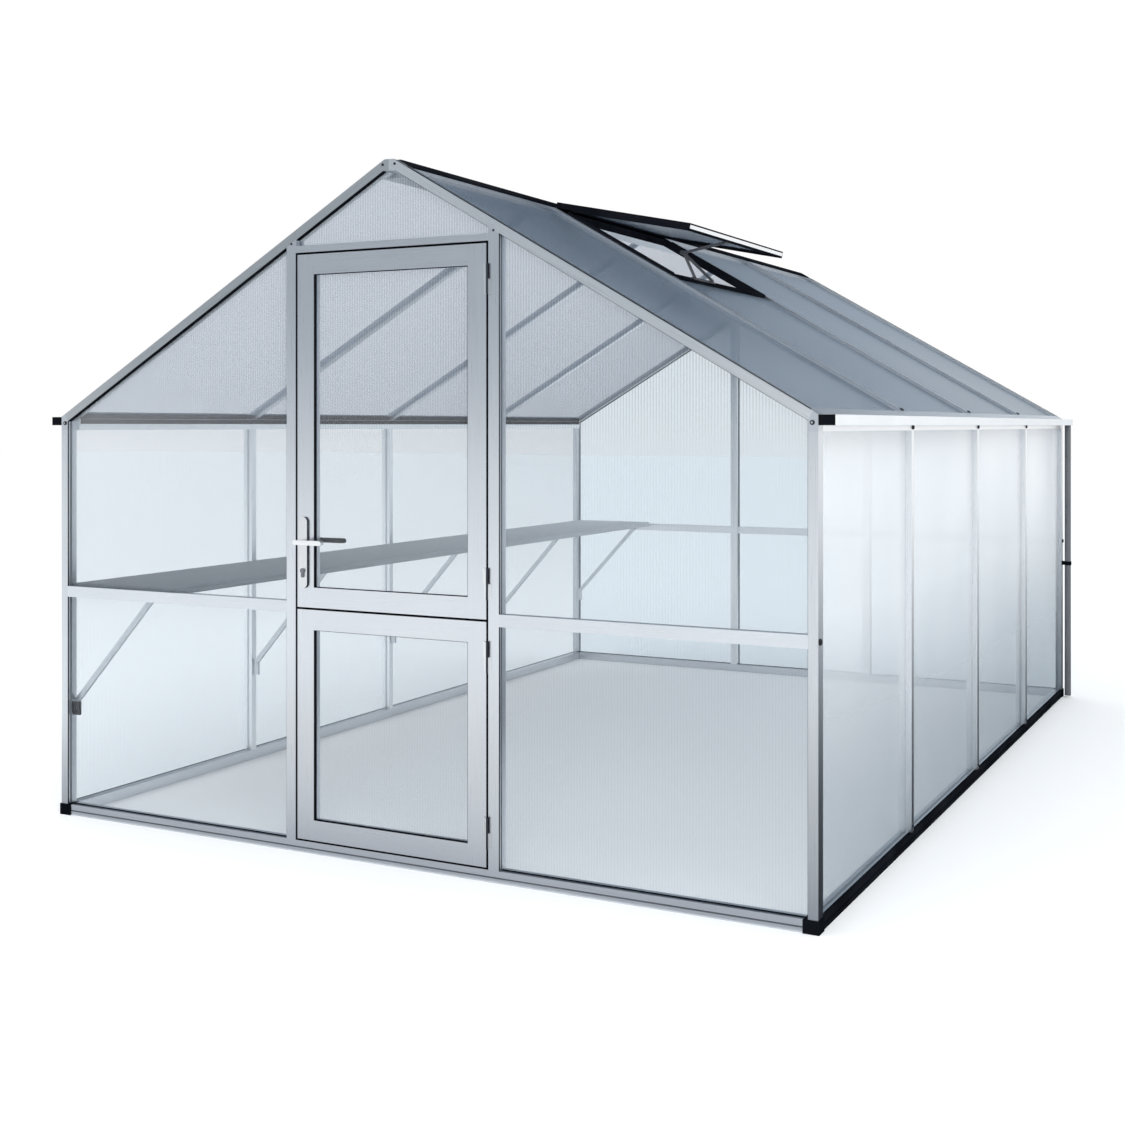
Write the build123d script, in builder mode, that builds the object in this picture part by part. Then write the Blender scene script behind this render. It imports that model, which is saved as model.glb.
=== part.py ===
# Glazed greenhouse: an aluminium frame with twin-wall sheets, a stable door, a roof vent and a shelf.
# Millimetres. +X is the right-hand side seen from the door, +Y runs to the rear and +Z is up.
# The origin is on the ground, at the centre of the whole outline.

import os
from math import atan2, cos, hypot, radians, sin, tan

from build123d import *

os.makedirs("parts", exist_ok=True)

# House
house_width = 2945.0
house_length = 4293.0
eave_height = 1493.0
ridge_rise = 860.0
bay_count = 4

# Frame members
frame_depth = 45.0
post_width = 31.0
rafter_thickness = 30.0
bar_width = 30.0
panel_thickness = 10.0
panel_recess = 20.0
roof_recess = 12.0

# Ground frame
sill_height = 40.0
sill_lip_height = 15.0
sill_groove_height = 5.0
sill_groove_depth = 5.0
corner_length = 50.0
corner_proud = 4.0

# Eaves, gutters and ridge
eave_beam_drop = 50.0
eave_cap_reach = 36.0
gutter_width = 48.0
gutter_height = 31.0
gutter_wall = 3.0
gutter_top_drop = 1.0
gutter_cap_length = 8.0
ridge_beam_reach = 80.0
ridge_bracket_reach = 44.0
ridge_blunt_height = 10.0
bracket_round = 6.0
ridge_cap_reach = 70.0
ridge_cap_thickness = 4.0

# Downpipe
pipe_radius = 16.0
pipe_bore_radius = 14.0
pipe_ground_gap = 10.0
pipe_rear_inset = 24.0
clip_height = 720.0
clip_band = 20.0
clip_wall = 2.5
clip_slack = 0.2
clip_foot_thickness = 4.0
clip_arm_width = 10.0

# Rails and posts in the end walls
rail_bottom = 818.0
rail_height = 40.0
rear_post_width = 40.0

# Doorway
jamb_width = 40.0
door_gap = 5.0
leaf_width = 750.0
leaf_thickness = 35.0
lower_leaf_height = 788.0
leaf_stile = 70.0
leaf_pane_recess = 15.0
head_height = 25.0
head_rafter_gap = 21.0

# Door hinges
hinge_height = 100.0
hinge_radius = 6.0
hinge_pin_radius = 3.0
hinge_pin_clearance = 0.06
hinge_seat_gap = 0.3
hinge_stand_off = 8.0
hinge_plate_width = 12.0
hinge_plate_thickness = 3.0
hinge_pin_end_gap = 4.0
upper_hinge_inset = 116.0
lower_hinge_inset = 113.0

# Door handle
handle_plate_width = 34.0
handle_plate_height = 243.0
handle_plate_thickness = 8.0
handle_height = 1064.0
handle_plate_top_reach = 84.0
handle_edge_inset = 30.0
spindle_radius = 4.5
spindle_clearance = 0.06
lever_length = 110.0
lever_bar = 16.0
lever_stand_off = 32.0
lever_neck_radius = 7.0
lever_neck_gap = 0.3
lock_drop = 99.0
lock_radius = 8.5
lock_tail_width = 10.0
lock_tail_reach = 18.5
lock_proud = 5.0

# Roof vent
vent_bay = 2
vent_open_angle = 18.6
vent_length = 575.0
vent_overlap = 10.0
vent_frame_width = 30.0
vent_frame_thickness = 22.0
vent_hinge_gap = 3.0
vent_opening_length = 535.0
vent_curb_width = 25.0

# Vent opener
opener_place_share = 0.33
opener_rise_share = 0.73
opener_set_back = 88.0
opener_foot_spread = 195.0
opener_foot_width = 16.0
opener_foot_margin = 14.0
opener_foot_thickness = 5.0
opener_rod_radius = 6.0
opener_pivot_radius = 9.0
opener_pivot_length = 40.0
opener_arm_shift = 70.0
opener_knob_radius = 7.0

# Shelf
shelf_height = 868.0
shelf_depth = 470.0
shelf_thickness = 25.0
brace_thickness = 20.0
brace_width = 12.0
brace_foot_height = 395.0
brace_reach = 400.0
brace_shoe_depth = 26.0
brace_shoe_height = 50.0

# Places that follow from the sizes above
half_width = house_width / 2
pitch = atan2(ridge_rise, half_width)
slope_length = hypot(half_width, ridge_rise)
apex_height = eave_height + ridge_rise
lever_reach = handle_plate_thickness + lever_stand_off + lever_bar
front_y = (lever_reach - house_length - corner_proud) / 2
rear_y = front_y + house_length
middle_y = (front_y + rear_y) / 2
bay_length = house_length / bay_count
panel_back = panel_recess + panel_thickness
eave_beam_bottom = eave_height - eave_beam_drop
rail_top = rail_bottom + rail_height
doorway_half = leaf_width / 2 + door_gap
jamb_outer = doorway_half + jamb_width
lower_leaf_bottom = sill_height + door_gap
upper_leaf_bottom = lower_leaf_bottom + lower_leaf_height + door_gap
bar_ys = [front_y + bay_length * step for step in range(1, bay_count)]
sides = (-1, 1)


def slope_point(side, along, out):
    """World X and Z of a point on a roof slope, along it from the eave and out from its top face."""
    x = half_width - along * cos(pitch) + out * sin(pitch)
    z = eave_height + along * sin(pitch) + out * cos(pitch)
    return (side * x, z)


def rafter_underside(x):
    """Height of the rafters' lower face at a distance X from the middle."""
    return eave_height + (half_width - abs(x)) * tan(pitch) - rafter_thickness / cos(pitch)


# The door head sits under the rafters, and the upper leaf fills the doorway below it
head_top = rafter_underside(doorway_half) - head_rafter_gap
head_bottom = head_top - head_height
upper_leaf_height = head_bottom - door_gap - upper_leaf_bottom


def across(y):
    """Plane across the house: its own X and Y are world X and Z, and it faces the door end."""
    return Plane(origin=(0, y, 0), x_dir=(1, 0, 0), z_dir=(0, -1, 0))


def slope_plane(side):
    """Plane on a roof slope: its X runs up from the eave and its Z points out of the roof."""
    return Plane(
        origin=(side * half_width, middle_y, eave_height),
        x_dir=(-side * cos(pitch), 0, sin(pitch)),
        z_dir=(side * sin(pitch), 0, cos(pitch)),
    )


# Ground frame
sill_profile = [
    (0, 0),
    (frame_depth, 0),
    (frame_depth, sill_height),
    (0, sill_height),
    (0, sill_lip_height + sill_groove_height),
    (sill_groove_depth, sill_lip_height + sill_groove_height),
    (sill_groove_depth, sill_lip_height),
    (0, sill_lip_height),
]
cross_sill_length = house_width - 2 * (corner_length - corner_proud)
side_sill_length = house_length - 2 * (corner_length - corner_proud)

with BuildPart() as front_sill:
    start = Plane(origin=(-cross_sill_length / 2, front_y, 0), x_dir=(0, 1, 0), z_dir=(1, 0, 0))
    with BuildSketch(start):
        with BuildLine():
            Polyline(*sill_profile, close=True)
        make_face()
    extrude(amount=cross_sill_length)
front_sill.part.label = "front_sill"
export_step(front_sill.part, "parts/front_sill.step")

with BuildPart() as rear_sill:
    start = Plane(origin=(cross_sill_length / 2, rear_y, 0), x_dir=(0, -1, 0), z_dir=(-1, 0, 0))
    with BuildSketch(start):
        with BuildLine():
            Polyline(*sill_profile, close=True)
        make_face()
    extrude(amount=cross_sill_length)
rear_sill.part.label = "rear_sill"
export_step(rear_sill.part, "parts/rear_sill.step")

with BuildPart() as side_sills:
    for side in sides:
        start = Plane(
            origin=(side * half_width, middle_y - side * side_sill_length / 2, 0),
            x_dir=(-side, 0, 0),
            z_dir=(0, side, 0),
        )
        with BuildSketch(start):
            with BuildLine():
                Polyline(*sill_profile, close=True)
            make_face()
        extrude(amount=side_sill_length)
side_sills.part.label = "side_sills"
export_step(side_sills.part, "parts/side_sills.step")

corner_inset = corner_length / 2 - corner_proud
with BuildPart() as base_corners:
    with Locations((0, middle_y, sill_height / 2)):
        with GridLocations(house_width - 2 * corner_inset, house_length - 2 * corner_inset, 2, 2):
            Box(corner_length, corner_length, sill_height)
base_corners.part.label = "base_corners"
export_step(base_corners.part, "parts/base_corners.step")

# Corner posts
with BuildPart() as corner_posts:
    with Locations((0, middle_y, sill_height)):
        with GridLocations(house_width - post_width, house_length - frame_depth, 2, 2):
            Box(
                post_width,
                frame_depth,
                eave_beam_bottom - sill_height,
                align=(Align.CENTER, Align.CENTER, Align.MIN),
            )
corner_posts.part.label = "corner_posts"
export_step(corner_posts.part, "parts/corner_posts.step")

# Corner brackets where posts meet rafters
eave_bracket_reach = (post_width - rafter_thickness * sin(pitch)) / cos(pitch)
with BuildPart() as eave_brackets:
    for end_y in (front_y + frame_depth, rear_y):
        for side in sides:
            with BuildSketch(across(end_y)):
                with BuildLine():
                    Polyline(
                        (side * (half_width - post_width), eave_beam_bottom),
                        (side * half_width, eave_beam_bottom),
                        (side * half_width, eave_height),
                        slope_point(side, eave_bracket_reach, 0),
                        slope_point(side, eave_bracket_reach, -rafter_thickness),
                        close=True,
                    )
                make_face()
                fillet(vertices().sort_by(Axis.Y)[-2], bracket_round)
            extrude(amount=frame_depth)
eave_brackets.part.label = "eave_brackets"
export_step(eave_brackets.part, "parts/eave_brackets.step")

# Eave beams along the side walls
beam_length = house_length - 2 * frame_depth
with BuildPart() as eave_beams:
    for side in sides:
        with BuildSketch(across(rear_y - frame_depth)):
            with BuildLine():
                Polyline(
                    (side * (half_width - frame_depth), eave_beam_bottom),
                    (side * half_width, eave_beam_bottom),
                    (side * half_width, eave_height),
                    slope_point(side, eave_cap_reach, 0),
                    slope_point(side, eave_cap_reach, -rafter_thickness),
                    close=True,
                )
            make_face()
        extrude(amount=beam_length)
eave_beams.part.label = "eave_beams"
export_step(eave_beams.part, "parts/eave_beams.step")

# Gutters on the outside of the eave beams
gutter_top = eave_height - gutter_top_drop
gutter_bottom = gutter_top - gutter_height
gutter_length = house_length - 2 * gutter_cap_length
pipe_x = half_width + gutter_width - gutter_wall - pipe_radius
pipe_y = rear_y - pipe_rear_inset
with BuildPart() as gutters:
    for side in sides:
        with BuildSketch(across(rear_y - gutter_cap_length)):
            with BuildLine():
                Polyline(
                    (side * half_width, gutter_bottom),
                    (side * (half_width + gutter_width), gutter_bottom),
                    (side * (half_width + gutter_width), gutter_top),
                    (side * (half_width + gutter_width - gutter_wall), gutter_top),
                    (side * (half_width + gutter_width - gutter_wall), gutter_bottom + gutter_wall),
                    (side * (half_width + gutter_wall), gutter_bottom + gutter_wall),
                    (side * (half_width + gutter_wall), gutter_top),
                    (side * half_width, gutter_top),
                    close=True,
                )
            make_face()
        extrude(amount=gutter_length)
    with Locations((pipe_x, pipe_y, gutter_bottom)):
        Cylinder(pipe_bore_radius, gutter_height, mode=Mode.SUBTRACT)
gutters.part.label = "gutters"
export_step(gutters.part, "parts/gutters.step")

with BuildPart() as gutter_caps:
    with Locations((0, middle_y, gutter_bottom + gutter_height / 2)):
        with GridLocations(house_width + gutter_width, house_length - gutter_cap_length, 2, 2):
            Box(gutter_width, gutter_cap_length, gutter_height)
gutter_caps.part.label = "gutter_caps"
export_step(gutter_caps.part, "parts/gutter_caps.step")

# Downpipe below the rear end of the right gutter
pipe_length = gutter_bottom - pipe_ground_gap
with BuildPart() as downpipe:
    with BuildSketch(Plane((pipe_x, pipe_y, pipe_ground_gap))):
        Circle(pipe_radius)
        Circle(pipe_bore_radius, mode=Mode.SUBTRACT)
    extrude(amount=pipe_length)
downpipe.part.label = "downpipe"
export_step(downpipe.part, "parts/downpipe.step")

clip_radius = pipe_radius + clip_slack
clip_arm_length = pipe_x - half_width
with BuildPart() as downpipe_clip:
    with BuildSketch(Plane((pipe_x, pipe_y, clip_height - clip_band / 2))):
        Circle(clip_radius + clip_wall)
        with Locations((-clip_arm_length / 2, 0)):
            Rectangle(clip_arm_length, clip_arm_width)
        with Locations((clip_foot_thickness / 2 - clip_arm_length, 0)):
            Rectangle(clip_foot_thickness, frame_depth)
        Circle(clip_radius, mode=Mode.SUBTRACT)
    extrude(amount=clip_band)
downpipe_clip.part.label = "downpipe_clip"
export_step(downpipe_clip.part, "parts/downpipe_clip.step")

# Ridge beam, its end brackets and its cap
ridge_top = apex_height - ridge_blunt_height
blunt_half = ridge_blunt_height / tan(pitch)


def ridge_outline(reach):
    """Section of a ridge member that reaches down both slopes."""
    return [
        (-blunt_half, ridge_top),
        (blunt_half, ridge_top),
        slope_point(1, slope_length - reach, 0),
        slope_point(1, slope_length - reach, -rafter_thickness),
        slope_point(-1, slope_length - reach, -rafter_thickness),
        slope_point(-1, slope_length - reach, 0),
    ]


with BuildPart() as ridge_beam:
    with BuildSketch(across(rear_y - frame_depth)):
        with BuildLine():
            Polyline(*ridge_outline(ridge_beam_reach), close=True)
        make_face()
    extrude(amount=beam_length)
ridge_beam.part.label = "ridge_beam"
export_step(ridge_beam.part, "parts/ridge_beam.step")

with BuildPart() as ridge_brackets:
    for end_y in (front_y + frame_depth, rear_y):
        with BuildSketch(across(end_y)):
            with BuildLine():
                Polyline(*ridge_outline(ridge_bracket_reach), close=True)
            make_face()
            fillet(vertices().group_by(Axis.Y)[-1], bracket_round)
        extrude(amount=frame_depth)
ridge_brackets.part.label = "ridge_brackets"
export_step(ridge_brackets.part, "parts/ridge_brackets.step")

cap_blunt_half = blunt_half + ridge_cap_thickness * tan(pitch / 2)
with BuildPart() as ridge_cap:
    with BuildSketch(across(rear_y - frame_depth)):
        with BuildLine():
            Polyline(
                (-blunt_half, ridge_top),
                (blunt_half, ridge_top),
                slope_point(1, slope_length - ridge_cap_reach, 0),
                slope_point(1, slope_length - ridge_cap_reach, ridge_cap_thickness),
                (cap_blunt_half, ridge_top + ridge_cap_thickness),
                (-cap_blunt_half, ridge_top + ridge_cap_thickness),
                slope_point(-1, slope_length - ridge_cap_reach, ridge_cap_thickness),
                slope_point(-1, slope_length - ridge_cap_reach, 0),
                close=True,
            )
        make_face()
    extrude(amount=beam_length)
ridge_cap.part.label = "ridge_cap"
export_step(ridge_cap.part, "parts/ridge_cap.step")

# Rafters along the four gable slopes
rafter_top = slope_length - ridge_bracket_reach
rafter_length = rafter_top - eave_bracket_reach
with BuildPart() as rafters:
    for side in sides:
        with Locations(slope_plane(side)):
            with Locations((eave_bracket_reach + rafter_length / 2, 0, -rafter_thickness / 2)):
                with GridLocations(house_length, house_length - frame_depth, 1, 2):
                    Box(rafter_length, frame_depth, rafter_thickness)
rafters.part.label = "rafters"
export_step(rafters.part, "parts/rafters.step")

# Bars between the panels of the side walls and of the roof
with BuildPart() as wall_bars:
    with Locations((0, middle_y, sill_height)):
        with GridLocations(house_width - frame_depth, bay_length, 2, bay_count - 1):
            Box(
                frame_depth,
                bar_width,
                eave_beam_bottom - sill_height,
                align=(Align.CENTER, Align.CENTER, Align.MIN),
            )
wall_bars.part.label = "wall_bars"
export_step(wall_bars.part, "parts/wall_bars.step")

roof_bar_top = slope_length - ridge_beam_reach
roof_bar_length = roof_bar_top - eave_cap_reach
with BuildPart() as roof_bars:
    for side in sides:
        with Locations(slope_plane(side)):
            with Locations((eave_cap_reach + roof_bar_length / 2, 0, -rafter_thickness / 2)):
                with GridLocations(bay_length, bay_length, 1, bay_count - 1):
                    Box(roof_bar_length, bar_width, rafter_thickness)
roof_bars.part.label = "roof_bars"
export_step(roof_bars.part, "parts/roof_bars.step")

# Clear spans between the bars, from the front bay to the rear bay
bay_edges = [front_y + frame_depth]
for bar_y in bar_ys:
    bay_edges += [bar_y - bar_width / 2, bar_y + bar_width / 2]
bay_edges.append(rear_y - frame_depth)
bays = list(zip(bay_edges[0::2], bay_edges[1::2]))

# Twin-wall sheets of the side walls
wall_sheet_height = eave_beam_bottom - sill_height


def side_sheets(side):
    """Sheets of one side wall, one to a bay, inside the open block."""
    for bay_start, bay_end in bays:
        sheet_x = side * (half_width - panel_recess - panel_thickness / 2)
        with Locations((sheet_x, (bay_start + bay_end) / 2, sill_height + wall_sheet_height / 2)):
            Box(panel_thickness, bay_end - bay_start, wall_sheet_height)


with BuildPart() as left_wall_panels:
    side_sheets(-1)
left_wall_panels.part.label = "left_wall_panels"
export_step(left_wall_panels.part, "parts/left_wall_panels.step")

with BuildPart() as right_wall_panels:
    side_sheets(1)
right_wall_panels.part.label = "right_wall_panels"
export_step(right_wall_panels.part, "parts/right_wall_panels.step")

# Twin-wall sheets of the roof
vent_curb_bottom = roof_bar_top - vent_opening_length - vent_curb_width


def roof_sheets(side, cut_bay):
    """Sheets of one roof slope, one to a bay, the cut bay's ending below the vent."""
    for number, (bay_start, bay_end) in enumerate(bays, start=1):
        sheet_top = vent_curb_bottom if number == cut_bay else roof_bar_top
        sheet_length = sheet_top - eave_cap_reach
        sheet_y = -side * ((bay_start + bay_end) / 2 - middle_y)
        sheet_z = -roof_recess - panel_thickness / 2
        with Locations(slope_plane(side)):
            with Locations((eave_cap_reach + sheet_length / 2, sheet_y, sheet_z)):
                Box(sheet_length, bay_end - bay_start, panel_thickness)


with BuildPart() as left_roof_panels:
    roof_sheets(-1, 0)
left_roof_panels.part.label = "left_roof_panels"
export_step(left_roof_panels.part, "parts/left_roof_panels.step")

with BuildPart() as right_roof_panels:
    roof_sheets(1, vent_bay)
right_roof_panels.part.label = "right_roof_panels"
export_step(right_roof_panels.part, "parts/right_roof_panels.step")

# Rails and uprights of the end walls
inner_post_x = half_width - post_width
side_rail_length = inner_post_x - jamb_outer
with BuildPart() as front_rails:
    with Locations((0, front_y + panel_back / 2, rail_bottom + rail_height / 2)):
        with GridLocations(inner_post_x + jamb_outer, house_length, 2, 1):
            Box(side_rail_length, panel_back, rail_height)
front_rails.part.label = "front_rails"
export_step(front_rails.part, "parts/front_rails.step")

with BuildPart() as rear_rails:
    with Locations((0, rear_y - panel_back / 2, rail_bottom + rail_height / 2)):
        with GridLocations(inner_post_x + jamb_outer, house_length, 2, 1):
            Box(side_rail_length, panel_back, rail_height)
        Box(2 * (jamb_outer - rear_post_width), panel_back, rail_height)
rear_rails.part.label = "rear_rails"
export_step(rear_rails.part, "parts/rear_rails.step")


def uprights(end_y, width):
    """Pair of uprights in an end wall, cut along the rafters, inside the open block."""
    inner_x = jamb_outer - width
    for side in sides:
        with BuildSketch(across(end_y)) as outline:
            with BuildLine():
                Polyline(
                    (side * inner_x, sill_height),
                    (side * jamb_outer, sill_height),
                    (side * jamb_outer, rafter_underside(jamb_outer)),
                    (side * inner_x, rafter_underside(inner_x)),
                    close=True,
                )
            make_face()
        extrude(outline.sketch, amount=frame_depth)


with BuildPart() as door_jambs:
    uprights(front_y + frame_depth, jamb_width)
door_jambs.part.label = "door_jambs"
export_step(door_jambs.part, "parts/door_jambs.step")

with BuildPart() as rear_posts:
    uprights(rear_y, rear_post_width)
rear_posts.part.label = "rear_posts"
export_step(rear_posts.part, "parts/rear_posts.step")

with BuildPart() as door_head:
    with Locations((0, front_y + frame_depth / 2, head_bottom + head_height / 2)):
        Box(2 * doorway_half, frame_depth, head_height)
door_head.part.label = "door_head"
export_step(door_head.part, "parts/door_head.step")


# Twin-wall sheets of the end walls
def corner_sheets(sheet_back_y):
    """Lower and upper sheets beside both corner posts, inside the open block."""
    for side in sides:
        lower = [
            (side * inner_post_x, sill_height),
            (side * jamb_outer, sill_height),
            (side * jamb_outer, rail_bottom),
            (side * inner_post_x, rail_bottom),
        ]
        upper = [
            (side * inner_post_x, rail_top),
            (side * jamb_outer, rail_top),
            (side * jamb_outer, rafter_underside(jamb_outer)),
            (side * inner_post_x, rafter_underside(inner_post_x)),
        ]
        for corners in (lower, upper):
            with BuildSketch(across(sheet_back_y)) as outline:
                with BuildLine():
                    Polyline(*corners, close=True)
                make_face()
            extrude(outline.sketch, amount=panel_thickness)


def gable_outline(half, bottom):
    """Outline of a gable sheet between two uprights, from a rail up to the rafters and the ridge."""
    ridge_x, ridge_z = slope_point(1, slope_length - ridge_bracket_reach, -rafter_thickness)
    return [
        (-half, bottom),
        (half, bottom),
        (half, rafter_underside(half)),
        (ridge_x, ridge_z),
        (-ridge_x, ridge_z),
        (-half, rafter_underside(half)),
    ]


with BuildPart() as front_panels:
    corner_sheets(front_y + panel_back)
    with BuildSketch(across(front_y + panel_back)):
        with BuildLine():
            Polyline(*gable_outline(doorway_half, head_top), close=True)
        make_face()
    extrude(amount=panel_thickness)
front_panels.part.label = "front_panels"
export_step(front_panels.part, "parts/front_panels.step")

rear_middle_half = jamb_outer - rear_post_width
with BuildPart() as rear_panels:
    corner_sheets(rear_y - panel_recess)
    with BuildSketch(across(rear_y - panel_recess)):
        with BuildLine():
            Polyline(*gable_outline(rear_middle_half, rail_top), close=True)
        make_face()
    extrude(amount=panel_thickness)
    with Locations((0, rear_y - panel_recess - panel_thickness / 2, (sill_height + rail_bottom) / 2)):
        Box(2 * rear_middle_half, panel_thickness, rail_bottom - sill_height)
rear_panels.part.label = "rear_panels"
export_step(rear_panels.part, "parts/rear_panels.step")

# Door hinges: a pin on the jamb side and a bored knuckle on the leaf side
hinge_x = doorway_half - door_gap / 2
hinge_y = front_y - hinge_stand_off
upper_leaf_top = upper_leaf_bottom + upper_leaf_height
lower_leaf_top = lower_leaf_bottom + lower_leaf_height
upper_hinge_zs = (upper_leaf_bottom + upper_hinge_inset, upper_leaf_top - upper_hinge_inset)
lower_hinge_zs = (lower_leaf_bottom + lower_hinge_inset, lower_leaf_top - lower_hinge_inset)
knuckle_height = (hinge_height - hinge_seat_gap) / 2
knuckle_bore = hinge_pin_radius + hinge_pin_clearance
jamb_plate_x = doorway_half + hinge_plate_width / 2
leaf_plate_x = leaf_width / 2 - hinge_plate_width / 2
web_width = 2 * hinge_pin_radius
web_reach = hinge_stand_off - hinge_plate_thickness


def knuckle_outline(turn):
    """Outline of a knuckle with the web and plate that seat it, turned to the jamb or to the leaf."""
    plate_middle = jamb_plate_x if turn > 0 else leaf_plate_x
    plate_edge = doorway_half if turn > 0 else leaf_width / 2
    web_x = plate_edge + turn * web_width / 2
    Circle(hinge_radius)
    with Locations((web_x - hinge_x, web_reach / 2)):
        Rectangle(web_width, web_reach)
    with Locations((plate_middle - hinge_x, hinge_stand_off - hinge_plate_thickness / 2)):
        Rectangle(hinge_plate_width, hinge_plate_thickness)


with BuildPart() as jamb_hinges:
    for hinge_z in upper_hinge_zs + lower_hinge_zs:
        with BuildSketch(Plane((hinge_x, hinge_y, hinge_z - hinge_height / 2))):
            knuckle_outline(1)
        extrude(amount=knuckle_height)
        with BuildSketch(Plane((hinge_x, hinge_y, hinge_z - hinge_height / 2 + knuckle_height))):
            Circle(hinge_pin_radius)
        extrude(amount=knuckle_height - hinge_pin_end_gap)
jamb_hinges.part.label = "jamb_hinges"
export_step(jamb_hinges.part, "parts/jamb_hinges.step")


def leaf_knuckles(hinge_zs):
    """Bored knuckles on one leaf, inside the open block."""
    for hinge_z in hinge_zs:
        seat = Plane((hinge_x, hinge_y, hinge_z + hinge_seat_gap / 2))
        with BuildSketch(seat) as knuckle:
            knuckle_outline(-1)
        extrude(knuckle.sketch, amount=knuckle_height)
        with BuildSketch(seat) as bore:
            Circle(knuckle_bore)
        extrude(bore.sketch, amount=knuckle_height - hinge_pin_end_gap / 2, mode=Mode.SUBTRACT)


with BuildPart() as upper_door_hinges:
    leaf_knuckles(upper_hinge_zs)
upper_door_hinges.part.label = "upper_door_hinges"
export_step(upper_door_hinges.part, "parts/upper_door_hinges.step")

with BuildPart() as lower_door_hinges:
    leaf_knuckles(lower_hinge_zs)
lower_door_hinges.part.label = "lower_door_hinges"
export_step(lower_door_hinges.part, "parts/lower_door_hinges.step")

# Door leaves
handle_x = handle_edge_inset - leaf_width / 2
stile_bore = spindle_radius + spindle_clearance
pane_width = leaf_width - 2 * leaf_stile
pane_y = front_y + leaf_pane_recess + panel_thickness / 2


def leaf_frame(bottom, height):
    """Stiles and rails of one leaf as one welded frame, inside the open block."""
    with Locations((0, front_y + leaf_thickness / 2, bottom + height / 2)):
        Box(leaf_width, leaf_thickness, height)
        Box(pane_width, leaf_thickness, height - 2 * leaf_stile, mode=Mode.SUBTRACT)


with BuildPart() as upper_door_frame:
    leaf_frame(upper_leaf_bottom, upper_leaf_height)
    with BuildSketch(across(front_y + leaf_thickness)):
        with Locations((handle_x, handle_height)):
            Circle(stile_bore)
    extrude(amount=leaf_thickness, mode=Mode.SUBTRACT)
upper_door_frame.part.label = "upper_door_frame"
export_step(upper_door_frame.part, "parts/upper_door_frame.step")

with BuildPart() as upper_door_pane:
    with Locations((0, pane_y, upper_leaf_bottom + upper_leaf_height / 2)):
        Box(pane_width, panel_thickness, upper_leaf_height - 2 * leaf_stile)
upper_door_pane.part.label = "upper_door_pane"
export_step(upper_door_pane.part, "parts/upper_door_pane.step")

with BuildPart() as lower_door_frame:
    leaf_frame(lower_leaf_bottom, lower_leaf_height)
lower_door_frame.part.label = "lower_door_frame"
export_step(lower_door_frame.part, "parts/lower_door_frame.step")

with BuildPart() as lower_door_pane:
    with Locations((0, pane_y, lower_leaf_bottom + lower_leaf_height / 2)):
        Box(pane_width, panel_thickness, lower_leaf_height - 2 * leaf_stile)
lower_door_pane.part.label = "lower_door_pane"
export_step(lower_door_pane.part, "parts/lower_door_pane.step")

# Handle plates on both faces of the upper leaf
plate_middle_z = handle_height + handle_plate_top_reach - handle_plate_height / 2
leaf_back_y = front_y + leaf_thickness
with BuildPart() as handle_plates:
    for plate_back_y in (front_y, leaf_back_y + handle_plate_thickness):
        with BuildSketch(across(plate_back_y)):
            with Locations((handle_x, plate_middle_z)):
                SlotOverall(handle_plate_height, handle_plate_width, rotation=90)
            with Locations((handle_x, handle_height)):
                Circle(stile_bore, mode=Mode.SUBTRACT)
        extrude(amount=handle_plate_thickness)
handle_plates.part.label = "handle_plates"
export_step(handle_plates.part, "parts/handle_plates.step")

with BuildPart() as lock_cylinders:
    inner_lock_y = leaf_back_y + handle_plate_thickness + lock_proud
    for lock_back_y in (front_y - handle_plate_thickness, inner_lock_y):
        with BuildSketch(across(lock_back_y)):
            with Locations((handle_x, handle_height - lock_drop)):
                Circle(lock_radius)
            with Locations((handle_x, handle_height - lock_drop - lock_tail_reach / 2)):
                SlotCenterToCenter(lock_tail_reach, lock_tail_width, rotation=90)
        extrude(amount=lock_proud)
lock_cylinders.part.label = "lock_cylinders"
export_step(lock_cylinders.part, "parts/lock_cylinders.step")

# Lever handles of both faces on one spindle
lever_front_y = front_y - lever_reach
lever_back_y = leaf_back_y + lever_reach
outer_neck_back_y = front_y - handle_plate_thickness - lever_neck_gap
inner_neck_back_y = lever_back_y - lever_bar / 2
neck_length = lever_stand_off + lever_bar / 2 - lever_neck_gap
lever_span = lever_length - lever_bar / 2
with BuildPart() as door_lever:
    with BuildSketch(across(lever_back_y - lever_bar / 2)):
        with Locations((handle_x, handle_height)):
            Circle(spindle_radius)
    extrude(amount=lever_back_y - lever_front_y - lever_bar)
    for neck_back_y in (outer_neck_back_y, inner_neck_back_y):
        with BuildSketch(across(neck_back_y)):
            with Locations((handle_x, handle_height)):
                Circle(lever_neck_radius)
        extrude(amount=neck_length)
    for bar_back_y in (lever_front_y + lever_bar, lever_back_y):
        with BuildSketch(across(bar_back_y)):
            with Locations((handle_x + lever_span / 2, handle_height)):
                SlotCenterToCenter(lever_span, lever_bar)
        extrude(amount=lever_bar)
door_lever.part.label = "door_lever"
export_step(door_lever.part, "parts/door_lever.step")

# Roof vent, propped open on the right slope
vent_start, vent_end = bays[vent_bay - 1]
vent_middle_y = (vent_start + vent_end) / 2
vent_width = vent_end - vent_start + 2 * vent_overlap
vent_slope_y = -(vent_middle_y - middle_y)
curb_span = vent_end - vent_start
curb_length = roof_bar_top - vent_curb_bottom
with BuildPart() as vent_curb:
    with Locations(slope_plane(1)):
        with Locations((vent_curb_bottom + curb_length / 2, vent_slope_y, -rafter_thickness / 2)):
            Box(curb_length, curb_span, rafter_thickness)
            Box(
                curb_length - 2 * vent_curb_width,
                curb_span - 2 * vent_curb_width,
                rafter_thickness,
                mode=Mode.SUBTRACT,
            )
vent_curb.part.label = "vent_curb"
export_step(vent_curb.part, "parts/vent_curb.step")

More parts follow.
